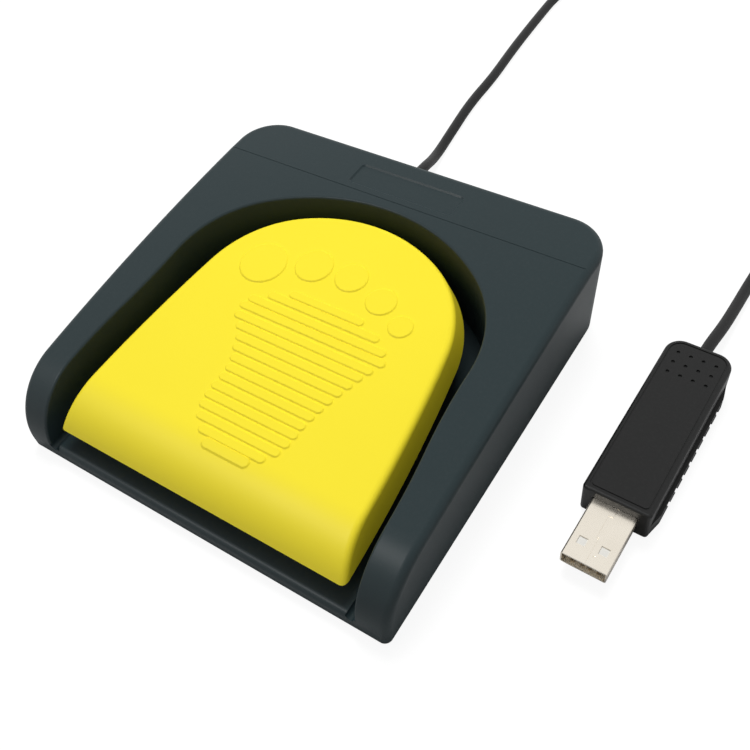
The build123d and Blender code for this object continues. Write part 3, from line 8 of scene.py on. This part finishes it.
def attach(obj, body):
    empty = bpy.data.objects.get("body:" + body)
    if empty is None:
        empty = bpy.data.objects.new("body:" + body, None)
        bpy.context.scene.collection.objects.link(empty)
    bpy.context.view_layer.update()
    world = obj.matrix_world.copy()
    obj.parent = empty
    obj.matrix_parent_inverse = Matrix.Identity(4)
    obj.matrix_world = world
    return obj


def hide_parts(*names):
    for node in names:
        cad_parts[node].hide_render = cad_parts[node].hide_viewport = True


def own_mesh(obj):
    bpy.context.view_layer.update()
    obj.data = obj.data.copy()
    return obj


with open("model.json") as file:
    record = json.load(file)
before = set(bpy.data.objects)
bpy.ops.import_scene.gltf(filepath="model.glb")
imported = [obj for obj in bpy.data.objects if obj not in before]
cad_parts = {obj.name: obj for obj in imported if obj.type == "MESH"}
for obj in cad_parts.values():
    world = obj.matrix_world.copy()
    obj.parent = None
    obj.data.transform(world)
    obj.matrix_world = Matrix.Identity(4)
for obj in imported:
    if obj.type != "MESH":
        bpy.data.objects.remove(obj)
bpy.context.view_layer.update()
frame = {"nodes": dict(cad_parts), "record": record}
print("frame loaded with", len(frame["nodes"]), "nodes")

perMetre = 1000  # millimetres
quarterTurn = math.pi / 2

# Camera where the photograph was taken from
shot = {
    "place": (0.12059, -0.12006, 0.20963),
    "right": (0.83777019, 0.5357989, -0.10516956),
    "up": (-0.37035061, 0.69912632, 0.61160674),
    "back": (0.40122503, -0.47343629, 0.78414065),
    "lens": 43.66,
    "sensor": 36,
    "nearest": 0.01,
}


def placeCamera(shot):
    lens = bpy.data.cameras.new("photoCamera")
    lens.lens = shot["lens"]
    lens.sensor_width = shot["sensor"]
    lens.clip_start = shot["nearest"]
    camera = bpy.data.objects.new("photoCamera", lens)
    columns = (shot["right"], shot["up"], shot["back"], shot["place"])
    rows = [[column[axis] for column in columns] for axis in range(3)]
    camera.matrix_world = Matrix(rows + [[0, 0, 0, 1]])
    bpy.context.collection.objects.link(camera)
    bpy.context.scene.camera = camera


placeCamera(shot)

# The lead, in millimetres in the frame of the base: out of the relief, round to a coil
# behind the base, and back along its right side to the plug. Only its length is in metres
lead = {
    "diameter": 3.5,
    "length": 1.811,
    "fromBase": [
        (-16.3, 74.9, 8.0),
        (-16.3, 84.5, 8.0),
        (-19.4, 97.5, 1.75),
        (-21.3, 113.0, 1.75),
        (-23.4, 131.0, 1.75),
        (-23.3, 148.0, 1.75),
        (-25.0, 168.0, 1.75),
        (-25.9, 190.0, 1.75),
        (-26.4, 212.0, 1.75),
        (-19.0, 232.0, 1.75),
        (-1.0, 246.0, 1.75),
        (24.0, 252.5, 1.75),
        (54.0, 254.0, 1.75),
        (80.5, 254.0, 1.75),
    ],
    "toPlug": [
        (111.0, 224.5, 13.75),
        (111.0, 211.0, 13.75),
        (110.0, 190.0, 7.0),
        (108.0, 168.0, 1.75),
        (103.5, 147.0, 1.75),
        (99.2, 125.0, 1.75),
        (96.4, 105.0, 1.75),
        (95.3, 88.5, 1.75),
        (95.0, 76.5, 2.7),
        (94.75, 66.0, 4.2),
        (93.659, 55.236, 5.5),
        (93.551, 50.237, 5.5),
    ],
    "coilCentre": (84.0, 228.0),
    "coilRadius": 26.0,
    "coilPitch": 4.0,
    "coilLayers": 4,
    "layerQuarters": 10,
    "turnQuarters": 4,
    "quarterPoints": 4,
    "splineOrder": 3,
    "ownWeight": 0.75,  # how far a point of the spline pulls it at the middle of its span
    "roundSteps": 4,
    "alongSteps": 6,
}


def coilPoints(lead):
    quarters = lead["layerQuarters"]
    last = lead["coilLayers"] - 1
    pitch = lead["coilPitch"]
    own = lead["ownWeight"]
    pull = own + (1 - own) * math.cos(quarterTurn / lead["quarterPoints"])  # it cuts inside its points
    points = []
    for step in range((quarters * lead["coilLayers"] + 1) * lead["quarterPoints"] + 1):
        turned = step / lead["quarterPoints"]
        layer = min(int(turned // quarters), last)
        along = turned - layer * quarters
        inward = quarters - along if layer % 2 else along
        reach = (lead["coilRadius"] - pitch / lead["turnQuarters"] * inward) / pull
        level = layer
        nearest = round(turned / quarters)
        past = turned - nearest * quarters
        if 0 < nearest <= last and abs(past) < 1:  # eases up to the next layer
            share = (past + 1) / 2
            level = nearest - 1 + share * share * (3 - 2 * share)
        angle = quarterTurn * (1 - turned)
        points.append(
            (
                lead["coilCentre"][0] + reach * math.cos(angle),
                lead["coilCentre"][1] + reach * math.sin(angle),
                lead["diameter"] / 2 + pitch * level,
            )
        )
    return points


def makeLead(lead):
    curve = bpy.data.curves.new("lead", "CURVE")
    curve.dimensions = "3D"
    curve.bevel_depth = 1.0  # each point's radius gives the thickness
    curve.bevel_resolution = lead["roundSteps"]
    curve.resolution_u = lead["alongSteps"]
    curve.use_fill_caps = True
    route = lead["fromBase"] + coilPoints(lead) + lead["toPlug"]
    spline = curve.splines.new("NURBS")
    spline.points.add(len(route) - 1)
    for point, (x, y, z) in zip(spline.points, route):
        point.co = (x / perMetre, y / perMetre, z / perMetre, 1)
        point.radius = lead["diameter"] / 2 / perMetre
    spline.order_u = lead["splineOrder"]
    spline.use_endpoint_u = True
    obj = bpy.data.objects.new("lead", curve)
    bpy.context.collection.objects.link(obj)
    return obj


leadCurve = makeLead(lead)
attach(leadCurve, "base")
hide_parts("cord_from_base", "cord_coil", "cord_to_plug")
print("lead laid out")


def findSocket(node, key):
    if key[0] == "i" and key[1:].isdigit():
        return node.inputs[int(key[1:])]
    return node.inputs[key.replace("_", " ")]


# A node with its settings, and its inputs by name, or by number as i0 and so on
def addNode(tree, kind, settings=None, **inputs):
    node = tree.nodes.new(kind)
    for key, value in (settings or {}).items():
        setattr(node, key, value)
    for key, value in inputs.items():
        socket = findSocket(node, key)
        if isinstance(value, bpy.types.NodeSocket):
            tree.links.new(value, socket)
        else:
            socket.default_value = value
    return node


def maths(tree, operation, *values, clamp=False):
    inputs = {"i" + str(index): value for index, value in enumerate(values)}
    return addNode(tree, "ShaderNodeMath", {"operation": operation, "use_clamp": clamp}, **inputs).outputs[0]


def useGroup(tree, group, **inputs):
    return addNode(tree, "ShaderNodeGroup", {"node_tree": group}, **inputs)


def startGroup(name, inputs, outputs):
    tree = bpy.data.node_groups.new(name, "ShaderNodeTree")
    for label, kind, value in inputs:
        socket = tree.interface.new_socket(label, in_out="INPUT", socket_type=kind)
        socket.default_value = value
    for label, kind in outputs:
        tree.interface.new_socket(label, in_out="OUTPUT", socket_type=kind)
    return tree, tree.nodes.new("NodeGroupInput"), tree.nodes.new("NodeGroupOutput")


noiseMiddle = 0.5  # a noise swings about this value

# Fine grain and slow patches of a moulded surface
fineNoise = {"Detail": 3.0, "Roughness": 0.6}
slowNoise = {"Detail": 4.0, "Roughness": 0.55}


def makeMouldGrain():
    tree, given, out = startGroup(
        "mouldGrain",
        [
            ("Grain Scale", "NodeSocketFloat", 2500.0),
            ("Patch Scale", "NodeSocketFloat", 40.0),
            ("Patch Contrast", "NodeSocketFloat", 1.0),
        ],
        [("Height", "NodeSocketFloat"), ("Patches", "NodeSocketFloat")],
    )
    given = given.outputs
    place = tree.nodes.new("ShaderNodeTexCoord").outputs["Object"]
    fine = addNode(tree, "ShaderNodeTexNoise", Vector=place, Scale=given["Grain Scale"], **fineNoise)
    slow = addNode(tree, "ShaderNodeTexNoise", Vector=place, Scale=given["Patch Scale"], **slowNoise)
    swing = maths(tree, "SUBTRACT", slow.outputs["Fac"], noiseMiddle)
    spread = maths(tree, "MULTIPLY_ADD", swing, given["Patch Contrast"], noiseMiddle, clamp=True)
    tree.links.new(fine.outputs["Fac"], out.inputs["Height"])
    tree.links.new(spread, out.inputs["Patches"])
    return tree


# Two colours mixed by slow patches, and dust over both
def makeColourDrift():
    tree, given, out = startGroup(
        "colourDrift",
        [
            ("Main Colour", "NodeSocketColor", (0.5, 0.5, 0.5, 1)),
            ("Patch Colour", "NodeSocketColor", (0.4, 0.4, 0.4, 1)),
            ("Patches", "NodeSocketFloat", 0.5),
            ("Dust Colour", "NodeSocketColor", (0.6, 0.6, 0.58, 1)),
            ("Dust", "NodeSocketFloat", 0.0),
        ],
        [("Colour", "NodeSocketColor")],
    )
    given = given.outputs
    colour = given["Main Colour"]
    for share, over in (("Patches", "Patch Colour"), ("Dust", "Dust Colour")):
        blend = {"i0": given[share], "i6": colour, "i7": given[over]}
        colour = addNode(tree, "ShaderNodeMix", {"data_type": "RGBA"}, **blend).outputs[2]
    tree.links.new(colour, out.inputs["Colour"])
    return tree


# Thin dust on what faces up
dustFall = {"From_Min": 0.5, "From_Max": 1.0, "To_Min": 0.0, "To_Max": 1.0}
speckCut = {"From_Min": 0.48, "From_Max": 0.72, "To_Min": 0.25, "To_Max": 1.0}
speckNoise = {"Detail": 2.0, "Roughness": 0.7}


def makeRestingDust():
    tree, given, out = startGroup(
        "restingDust",
        [("Amount", "NodeSocketFloat", 0.05), ("Speck Scale", "NodeSocketFloat", 900.0)],
        [("Mask", "NodeSocketFloat")],
    )
    given = given.outputs
    place = tree.nodes.new("ShaderNodeTexCoord").outputs["Object"]
    normal = tree.nodes.new("ShaderNodeNewGeometry").outputs["Normal"]
    facing = addNode(tree, "ShaderNodeSeparateXYZ", Vector=normal)
    level = addNode(tree, "ShaderNodeMapRange", Value=facing.outputs["Z"], **dustFall)
    specks = addNode(tree, "ShaderNodeTexNoise", Vector=place, Scale=given["Speck Scale"], **speckNoise)
    cut = addNode(tree, "ShaderNodeMapRange", Value=specks.outputs["Fac"], **speckCut)
    both = maths(tree, "MULTIPLY", level.outputs[0], cut.outputs[0])
    tree.links.new(maths(tree, "MULTIPLY", both, given["Amount"]), out.inputs["Mask"])
    return tree


# Drawn lines along one direction, for metal
lineNoise = {"Scale": 1.0, "Detail": 3.0, "Roughness": 0.65}


def makeDrawnLines():
    tree, given, out = startGroup(
        "drawnLines",
        [
            ("Line Scale", "NodeSocketVector", (200.0, 4000.0, 4000.0)),
            ("Line Contrast", "NodeSocketFloat", 0.2),
        ],
        [("Height", "NodeSocketFloat"), ("Shine", "NodeSocketFloat")],
    )
    given = given.outputs
    place = tree.nodes.new("ShaderNodeTexCoord").outputs["Object"]
    drawn = addNode(tree, "ShaderNodeVectorMath", {"operation": "MULTIPLY"}, i0=place, i1=given["Line Scale"])
    lines = addNode(tree, "ShaderNodeTexNoise", Vector=drawn.outputs[0], **lineNoise)
    swing = maths(tree, "SUBTRACT", lines.outputs["Fac"], noiseMiddle)
    tree.links.new(lines.outputs["Fac"], out.inputs["Height"])
    tree.links.new(maths(tree, "MULTIPLY", swing, given["Line Contrast"]), out.inputs["Shine"])
    return tree


mouldGrain = makeMouldGrain()
colourDrift = makeColourDrift()
restingDust = makeRestingDust()
drawnLines = makeDrawnLines()


def startMaterial(name):
    material = bpy.data.materials.new(name)
    material.use_nodes = True
    tree = material.node_tree
    shader = tree.nodes["Principled BSDF"]
    return material, tree, shader


def rgba(colour):
    return (*colour, 1)


# Moulded plastic and rubber: drift of colour, grain in the relief and in the gloss, dust
def moulded(name, look):
    material, tree, shader = startMaterial(name)
    grain = useGroup(
        tree,
        mouldGrain,
        Grain_Scale=look["grainScale"],
        Patch_Scale=look["patchScale"],
        Patch_Contrast=look["patchContrast"],
    )
    dust = useGroup(tree, restingDust, Amount=look["dust"], Speck_Scale=look["speckScale"])
    colour = useGroup(
        tree,
        colourDrift,
        Main_Colour=rgba(look["colour"]),
        Patch_Colour=rgba(look["patchColour"]),
        Patches=grain.outputs["Patches"],
        Dust_Colour=rgba(look["dustColour"]),
        Dust=dust.outputs["Mask"],
    )
    tree.links.new(colour.outputs["Colour"], shader.inputs["Base Color"])
    gloss = addNode(
        tree,
        "ShaderNodeMapRange",
        Value=grain.outputs["Patches"],
        To_Min=look["roughness"] - look["roughSpread"],
        To_Max=look["roughness"] + look["roughSpread"],
    )
    tree.links.new(gloss.outputs[0], shader.inputs["Roughness"])
    bump = addNode(
        tree,
        "ShaderNodeBump",
        Strength=look["grainStrength"],
        Distance=look["grainDepth"],
        Height=grain.outputs["Height"],
    )
    tree.links.new(bump.outputs[0], shader.inputs["Normal"])
    shader.inputs["IOR"].default_value = look["ior"]
    return material


# Drawn or rolled metal: drift of colour, and fine lines in the relief and in the gloss
def drawnMetal(name, look):
    material, tree, shader = startMaterial(name)
    grain = useGroup(tree, mouldGrain, Patch_Scale=look["patchScale"], Patch_Contrast=look["patchContrast"])
    lines = useGroup(tree, drawnLines, Line_Scale=look["lineScale"], Line_Contrast=look["lineContrast"])
    colour = useGroup(
        tree,
        colourDrift,
        Main_Colour=rgba(look["colour"]),
        Patch_Colour=rgba(look["patchColour"]),
        Patches=grain.outputs["Patches"],
    )
    tree.links.new(colour.outputs["Colour"], shader.inputs["Base Color"])
    shader.inputs["Metallic"].default_value = 1.0
    gloss = maths(tree, "ADD", lines.outputs["Shine"], look["roughness"], clamp=True)
    tree.links.new(gloss, shader.inputs["Roughness"])
    bump = addNode(
        tree,
        "ShaderNodeBump",
        Strength=look["lineStrength"],
        Distance=look["lineDepth"],
        Height=lines.outputs["Height"],
    )
    tree.links.new(bump.outputs[0], shader.inputs["Normal"])
    return material


plainMould = {
    "grainScale": 2600.0,
    "patchScale": 45.0,
    "patchContrast": 1.0,
    "dust": 0.008,
    "speckScale": 1100.0,
    "dustColour": (0.45, 0.45, 0.43),
    "roughSpread": 0.04,
    "grainStrength": 0.12,
    "grainDepth": 0.00008,
    "ior": 1.46,
}
slateShell = plainMould | {
    "colour": (0.0148, 0.0258, 0.0285),
    "patchColour": (0.0165, 0.028, 0.031),
    "roughness": 0.42,
    "ior": 1.3,
}
yellowShell = plainMould | {
    "colour": (0.92, 0.77, 0.03),
    "patchColour": (0.9, 0.745, 0.027),
    "roughness": 0.46,
    "ior": 1.33,
    "dustColour": (0.8, 0.75, 0.4),
}
blackShell = plainMould | {
    "colour": (0.004, 0.0042, 0.0042),
    "patchColour": (0.006, 0.006, 0.006),
    "roughness": 0.4,
    "ior": 1.35,
    "grainScale": 3600.0,
}
jacketRubber = plainMould | {
    "colour": (0.004, 0.004, 0.0042),
    "patchColour": (0.006, 0.006, 0.0062),
    "roughness": 0.42,
    "ior": 1.35,
}
softRubber = plainMould | {
    "colour": (0.02, 0.02, 0.02),
    "patchColour": (0.028, 0.028, 0.027),
    "roughness": 0.75,
    "grainScale": 1400.0,
    "grainStrength": 0.5,
}
chipMould = plainMould | {
    "colour": (0.02, 0.02, 0.022),
    "patchColour": (0.03, 0.03, 0.03),
    "roughness": 0.6,
}
switchMould = plainMould | {
    "colour": (0.03, 0.03, 0.034),
    "patchColour": (0.04, 0.04, 0.042),
    "roughness": 0.5,
}
buttonMould = plainMould | {
    "colour": (0.45, 0.03, 0.02),
    "patchColour": (0.38, 0.025, 0.02),
    "roughness": 0.35,
}
tongueMould = plainMould | {
    "colour": (0.74, 0.73, 0.69),
    "patchColour": (0.7, 0.69, 0.65),
    "roughness": 0.45,
}
redSleeve = plainMould | {
    "colour": (0.42, 0.02, 0.015),
    "patchColour": (0.36, 0.018, 0.014),
    "roughness": 0.35,
}
blackSleeve = plainMould | {
    "colour": (0.02, 0.02, 0.02),
    "patchColour": (0.03, 0.03, 0.03),
    "roughness": 0.35,
}
firedPart = plainMould | {
    "colour": (0.42, 0.30, 0.17),
    "patchColour": (0.36, 0.25, 0.14),
    "roughness": 0.5,
}
solderMask = plainMould | {
    "colour": (0.01, 0.085, 0.035),
    "patchColour": (0.014, 0.11, 0.045),
    "roughness": 0.28,
    "patchScale": 600.0,
    "patchContrast": 5.0,
}
plainMetal = {
    "patchScale": 120.0,
    "patchContrast": 1.4,
    "lineScale": (300.0, 4000.0, 4000.0),
    "lineContrast": 0.2,
    "lineStrength": 0.15,
    "lineDepth": 0.00005,
}
springSteel = plainMetal | {
    "colour": (0.50, 0.50, 0.51),
    "patchColour": (0.44, 0.43, 0.42),
    "roughness": 0.3,
}
screwSteel = plainMetal | {
    "colour": (0.52, 0.52, 0.53),
    "patchColour": (0.42, 0.42, 0.42),
    "roughness": 0.34,
}
nickelShell = plainMetal | {
    "colour": (0.84, 0.785, 0.69),
    "patchColour": (0.77, 0.71, 0.61),
    "roughness": 0.27,
    "lineScale": (5000.0, 250.0, 5000.0),
}
contactBrass = plainMetal | {
    "colour": (0.83, 0.60, 0.26),
    "patchColour": (0.74, 0.52, 0.22),
    "roughness": 0.25,
}
crystalCan = plainMetal | {
    "colour": (0.66, 0.66, 0.67),
    "patchColour": (0.55, 0.55, 0.56),
    "roughness": 0.25,
}

finishes = {
    "slate_plastic": moulded("slatePlastic", slateShell),
    "yellow_plastic": moulded("yellowPlastic", yellowShell),
    "black_plastic": moulded("blackPlastic", blackShell),
    "black_rubber": moulded("softRubber", softRubber),
    "cord_jacket": moulded("cordJacket", jacketRubber),
    "chip_black": moulded("chipMould", chipMould),
    "switch_black": moulded("switchMould", switchMould),
    "button_red": moulded("buttonRed", buttonMould),
    "tongue_white": moulded("tongueWhite", tongueMould),
    "wire_red": moulded("redSleeve", redSleeve),
    "wire_black": moulded("blackSleeve", blackSleeve),
    "part_ceramic": moulded("firedCeramic", firedPart),
    "board_green": moulded("solderMask", solderMask),
    "spring_steel": drawnMetal("springSteel", springSteel),
    "screw_steel": drawnMetal("screwSteel", screwSteel),
    "plug_steel": drawnMetal("nickelShell", nickelShell),
    "contact_brass": drawnMetal("contactBrass", contactBrass),
    "crystal_can": drawnMetal("crystalCan", crystalCan),
}
print("finishes mixed:", len(finishes))

for part in frame["record"]["subparts"]:
    obj = frame["nodes"][part["node"]]
    obj.data.materials.clear()
    obj.data.materials.append(finishes[part["material_slot"]])
leadCurve.data.materials.append(finishes["cord_jacket"])
print("frame nodes dressed")

# Springy pieces that give way under the pedal, copied onto the base in place of their frame nodes; the copies
# keep their modelled shape. In millimetres: node, name, slot, joint, the height that stays, and how far the
# top comes down
springy = [
    ("return_spring_left", "returnSpringLeft", "spring_steel", "pedal_hinge", 6.1, 3.8),
    ("return_spring_right", "returnSpringRight", "spring_steel", "pedal_hinge", 6.1, 3.8),
    ("switch_blade", "switchBlade", "spring_steel", "button_slide", 13.1, 0.64),
]


def layDown(node, name, slot, joint, foot, drop):
    source = frame["nodes"][node]
    obj = bpy.data.objects.new(name, source.data.copy())
    bpy.context.collection.objects.link(obj)
    obj.data.transform(source.matrix_world)
    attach(obj, "base")
    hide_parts(node)
    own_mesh(obj)


for piece in springy:
    layDown(*piece)

# Pale floor that shows white to the camera and keeps a soft shadow, and the studio light.
# A lamp has a name, a place, an aim, a size, a power and what it lights
studio = {
    "floorSize": 3.0,
    "floorColour": (0.6, 0.6, 0.6),
    "floorRoughness": 0.9,
    "floorShare": 0.75,
    "floorGlow": 1.2,
    "roomLight": 0.36,
    "white": (1, 1, 1, 1),
    "lamps": [
        ("topSoftbox", (-0.2, 0.45, 1.1), (0.0, 0.0, 0.0), 0.5, 12.3, "matt"),
        ("frontSheen", (-0.37, -0.53, 0.98), (0.04, -0.04, 0.02), 0.3, 5.0, "shine"),
    ],
}


def makeFloor(studio):
    half = studio["floorSize"] / 2
    corners = [(-half, -half, 0), (half, -half, 0), (half, half, 0), (-half, half, 0)]
    mesh = bpy.data.meshes.new("floor")
    mesh.from_pydata(corners, [], [(0, 1, 2, 3)])
    floor = bpy.data.objects.new("floor", mesh)
    bpy.context.collection.objects.link(floor)
    material, tree, shader = startMaterial("paperFloor")
    shader.inputs["Base Color"].default_value = rgba(studio["floorColour"])
    shader.inputs["Roughness"].default_value = studio["floorRoughness"]
    ray = tree.nodes.new("ShaderNodeLightPath").outputs
    seen = maths(tree, "MAXIMUM", ray["Is Camera Ray"], ray["Is Transmission Ray"])
    share = maths(tree, "MULTIPLY", seen, studio["floorShare"])
    glow = addNode(tree, "ShaderNodeEmission", Color=studio["white"], Strength=studio["floorGlow"])
    lit = addNode(tree, "ShaderNodeMixShader", i0=share, i1=shader.outputs[0], i2=glow.outputs[0])
    under = tree.nodes.new("ShaderNodeNewGeometry").outputs["Backfacing"]  # clear from below
    clear = tree.nodes.new("ShaderNodeBsdfTransparent")
    mixed = addNode(tree, "ShaderNodeMixShader", i0=under, i1=lit.outputs[0], i2=clear.outputs[0])
    tree.links.new(mixed.outputs[0], tree.nodes["Material Output"].inputs["Surface"])
    mesh.materials.append(material)


def lightStudio(studio):
    world = bpy.data.worlds.new("studio")
    bpy.context.scene.world = world
    world.use_nodes = True
    tree = world.node_tree
    room = tree.nodes["Background"]
    room.inputs["Strength"].default_value = studio["roomLight"]
    room.inputs["Color"].default_value = studio["white"]
    backdrop = addNode(tree, "ShaderNodeBackground", Color=studio["white"], Strength=1.0)
    ray = tree.nodes.new("ShaderNodeLightPath").outputs
    seen = maths(tree, "MAXIMUM", ray["Is Camera Ray"], ray["Is Glossy Ray"])
    seen = maths(tree, "MAXIMUM", seen, ray["Is Transmission Ray"])
    mixed = addNode(tree, "ShaderNodeMixShader", i0=seen, i1=room.outputs[0], i2=backdrop.outputs[0])
    tree.links.new(mixed.outputs[0], tree.nodes["World Output"].inputs["Surface"])
    for name, place, aim, size, power, gives in studio["lamps"]:
        lamp = bpy.data.lights.new(name, "AREA")
        lamp.size = size
        lamp.energy = power
        obj = bpy.data.objects.new(name, lamp)
        obj.location = place
        obj.rotation_euler = (Vector(place) - Vector(aim)).to_track_quat("Z", "Y").to_euler()
        obj.visible_glossy = gives == "shine"
        obj.visible_diffuse = gives == "matt"
        bpy.context.collection.objects.link(obj)
    bpy.context.scene.view_settings.view_transform = "Standard"


makeFloor(studio)
lightStudio(studio)
print("studio lit")

bpy.context.view_layer.update()
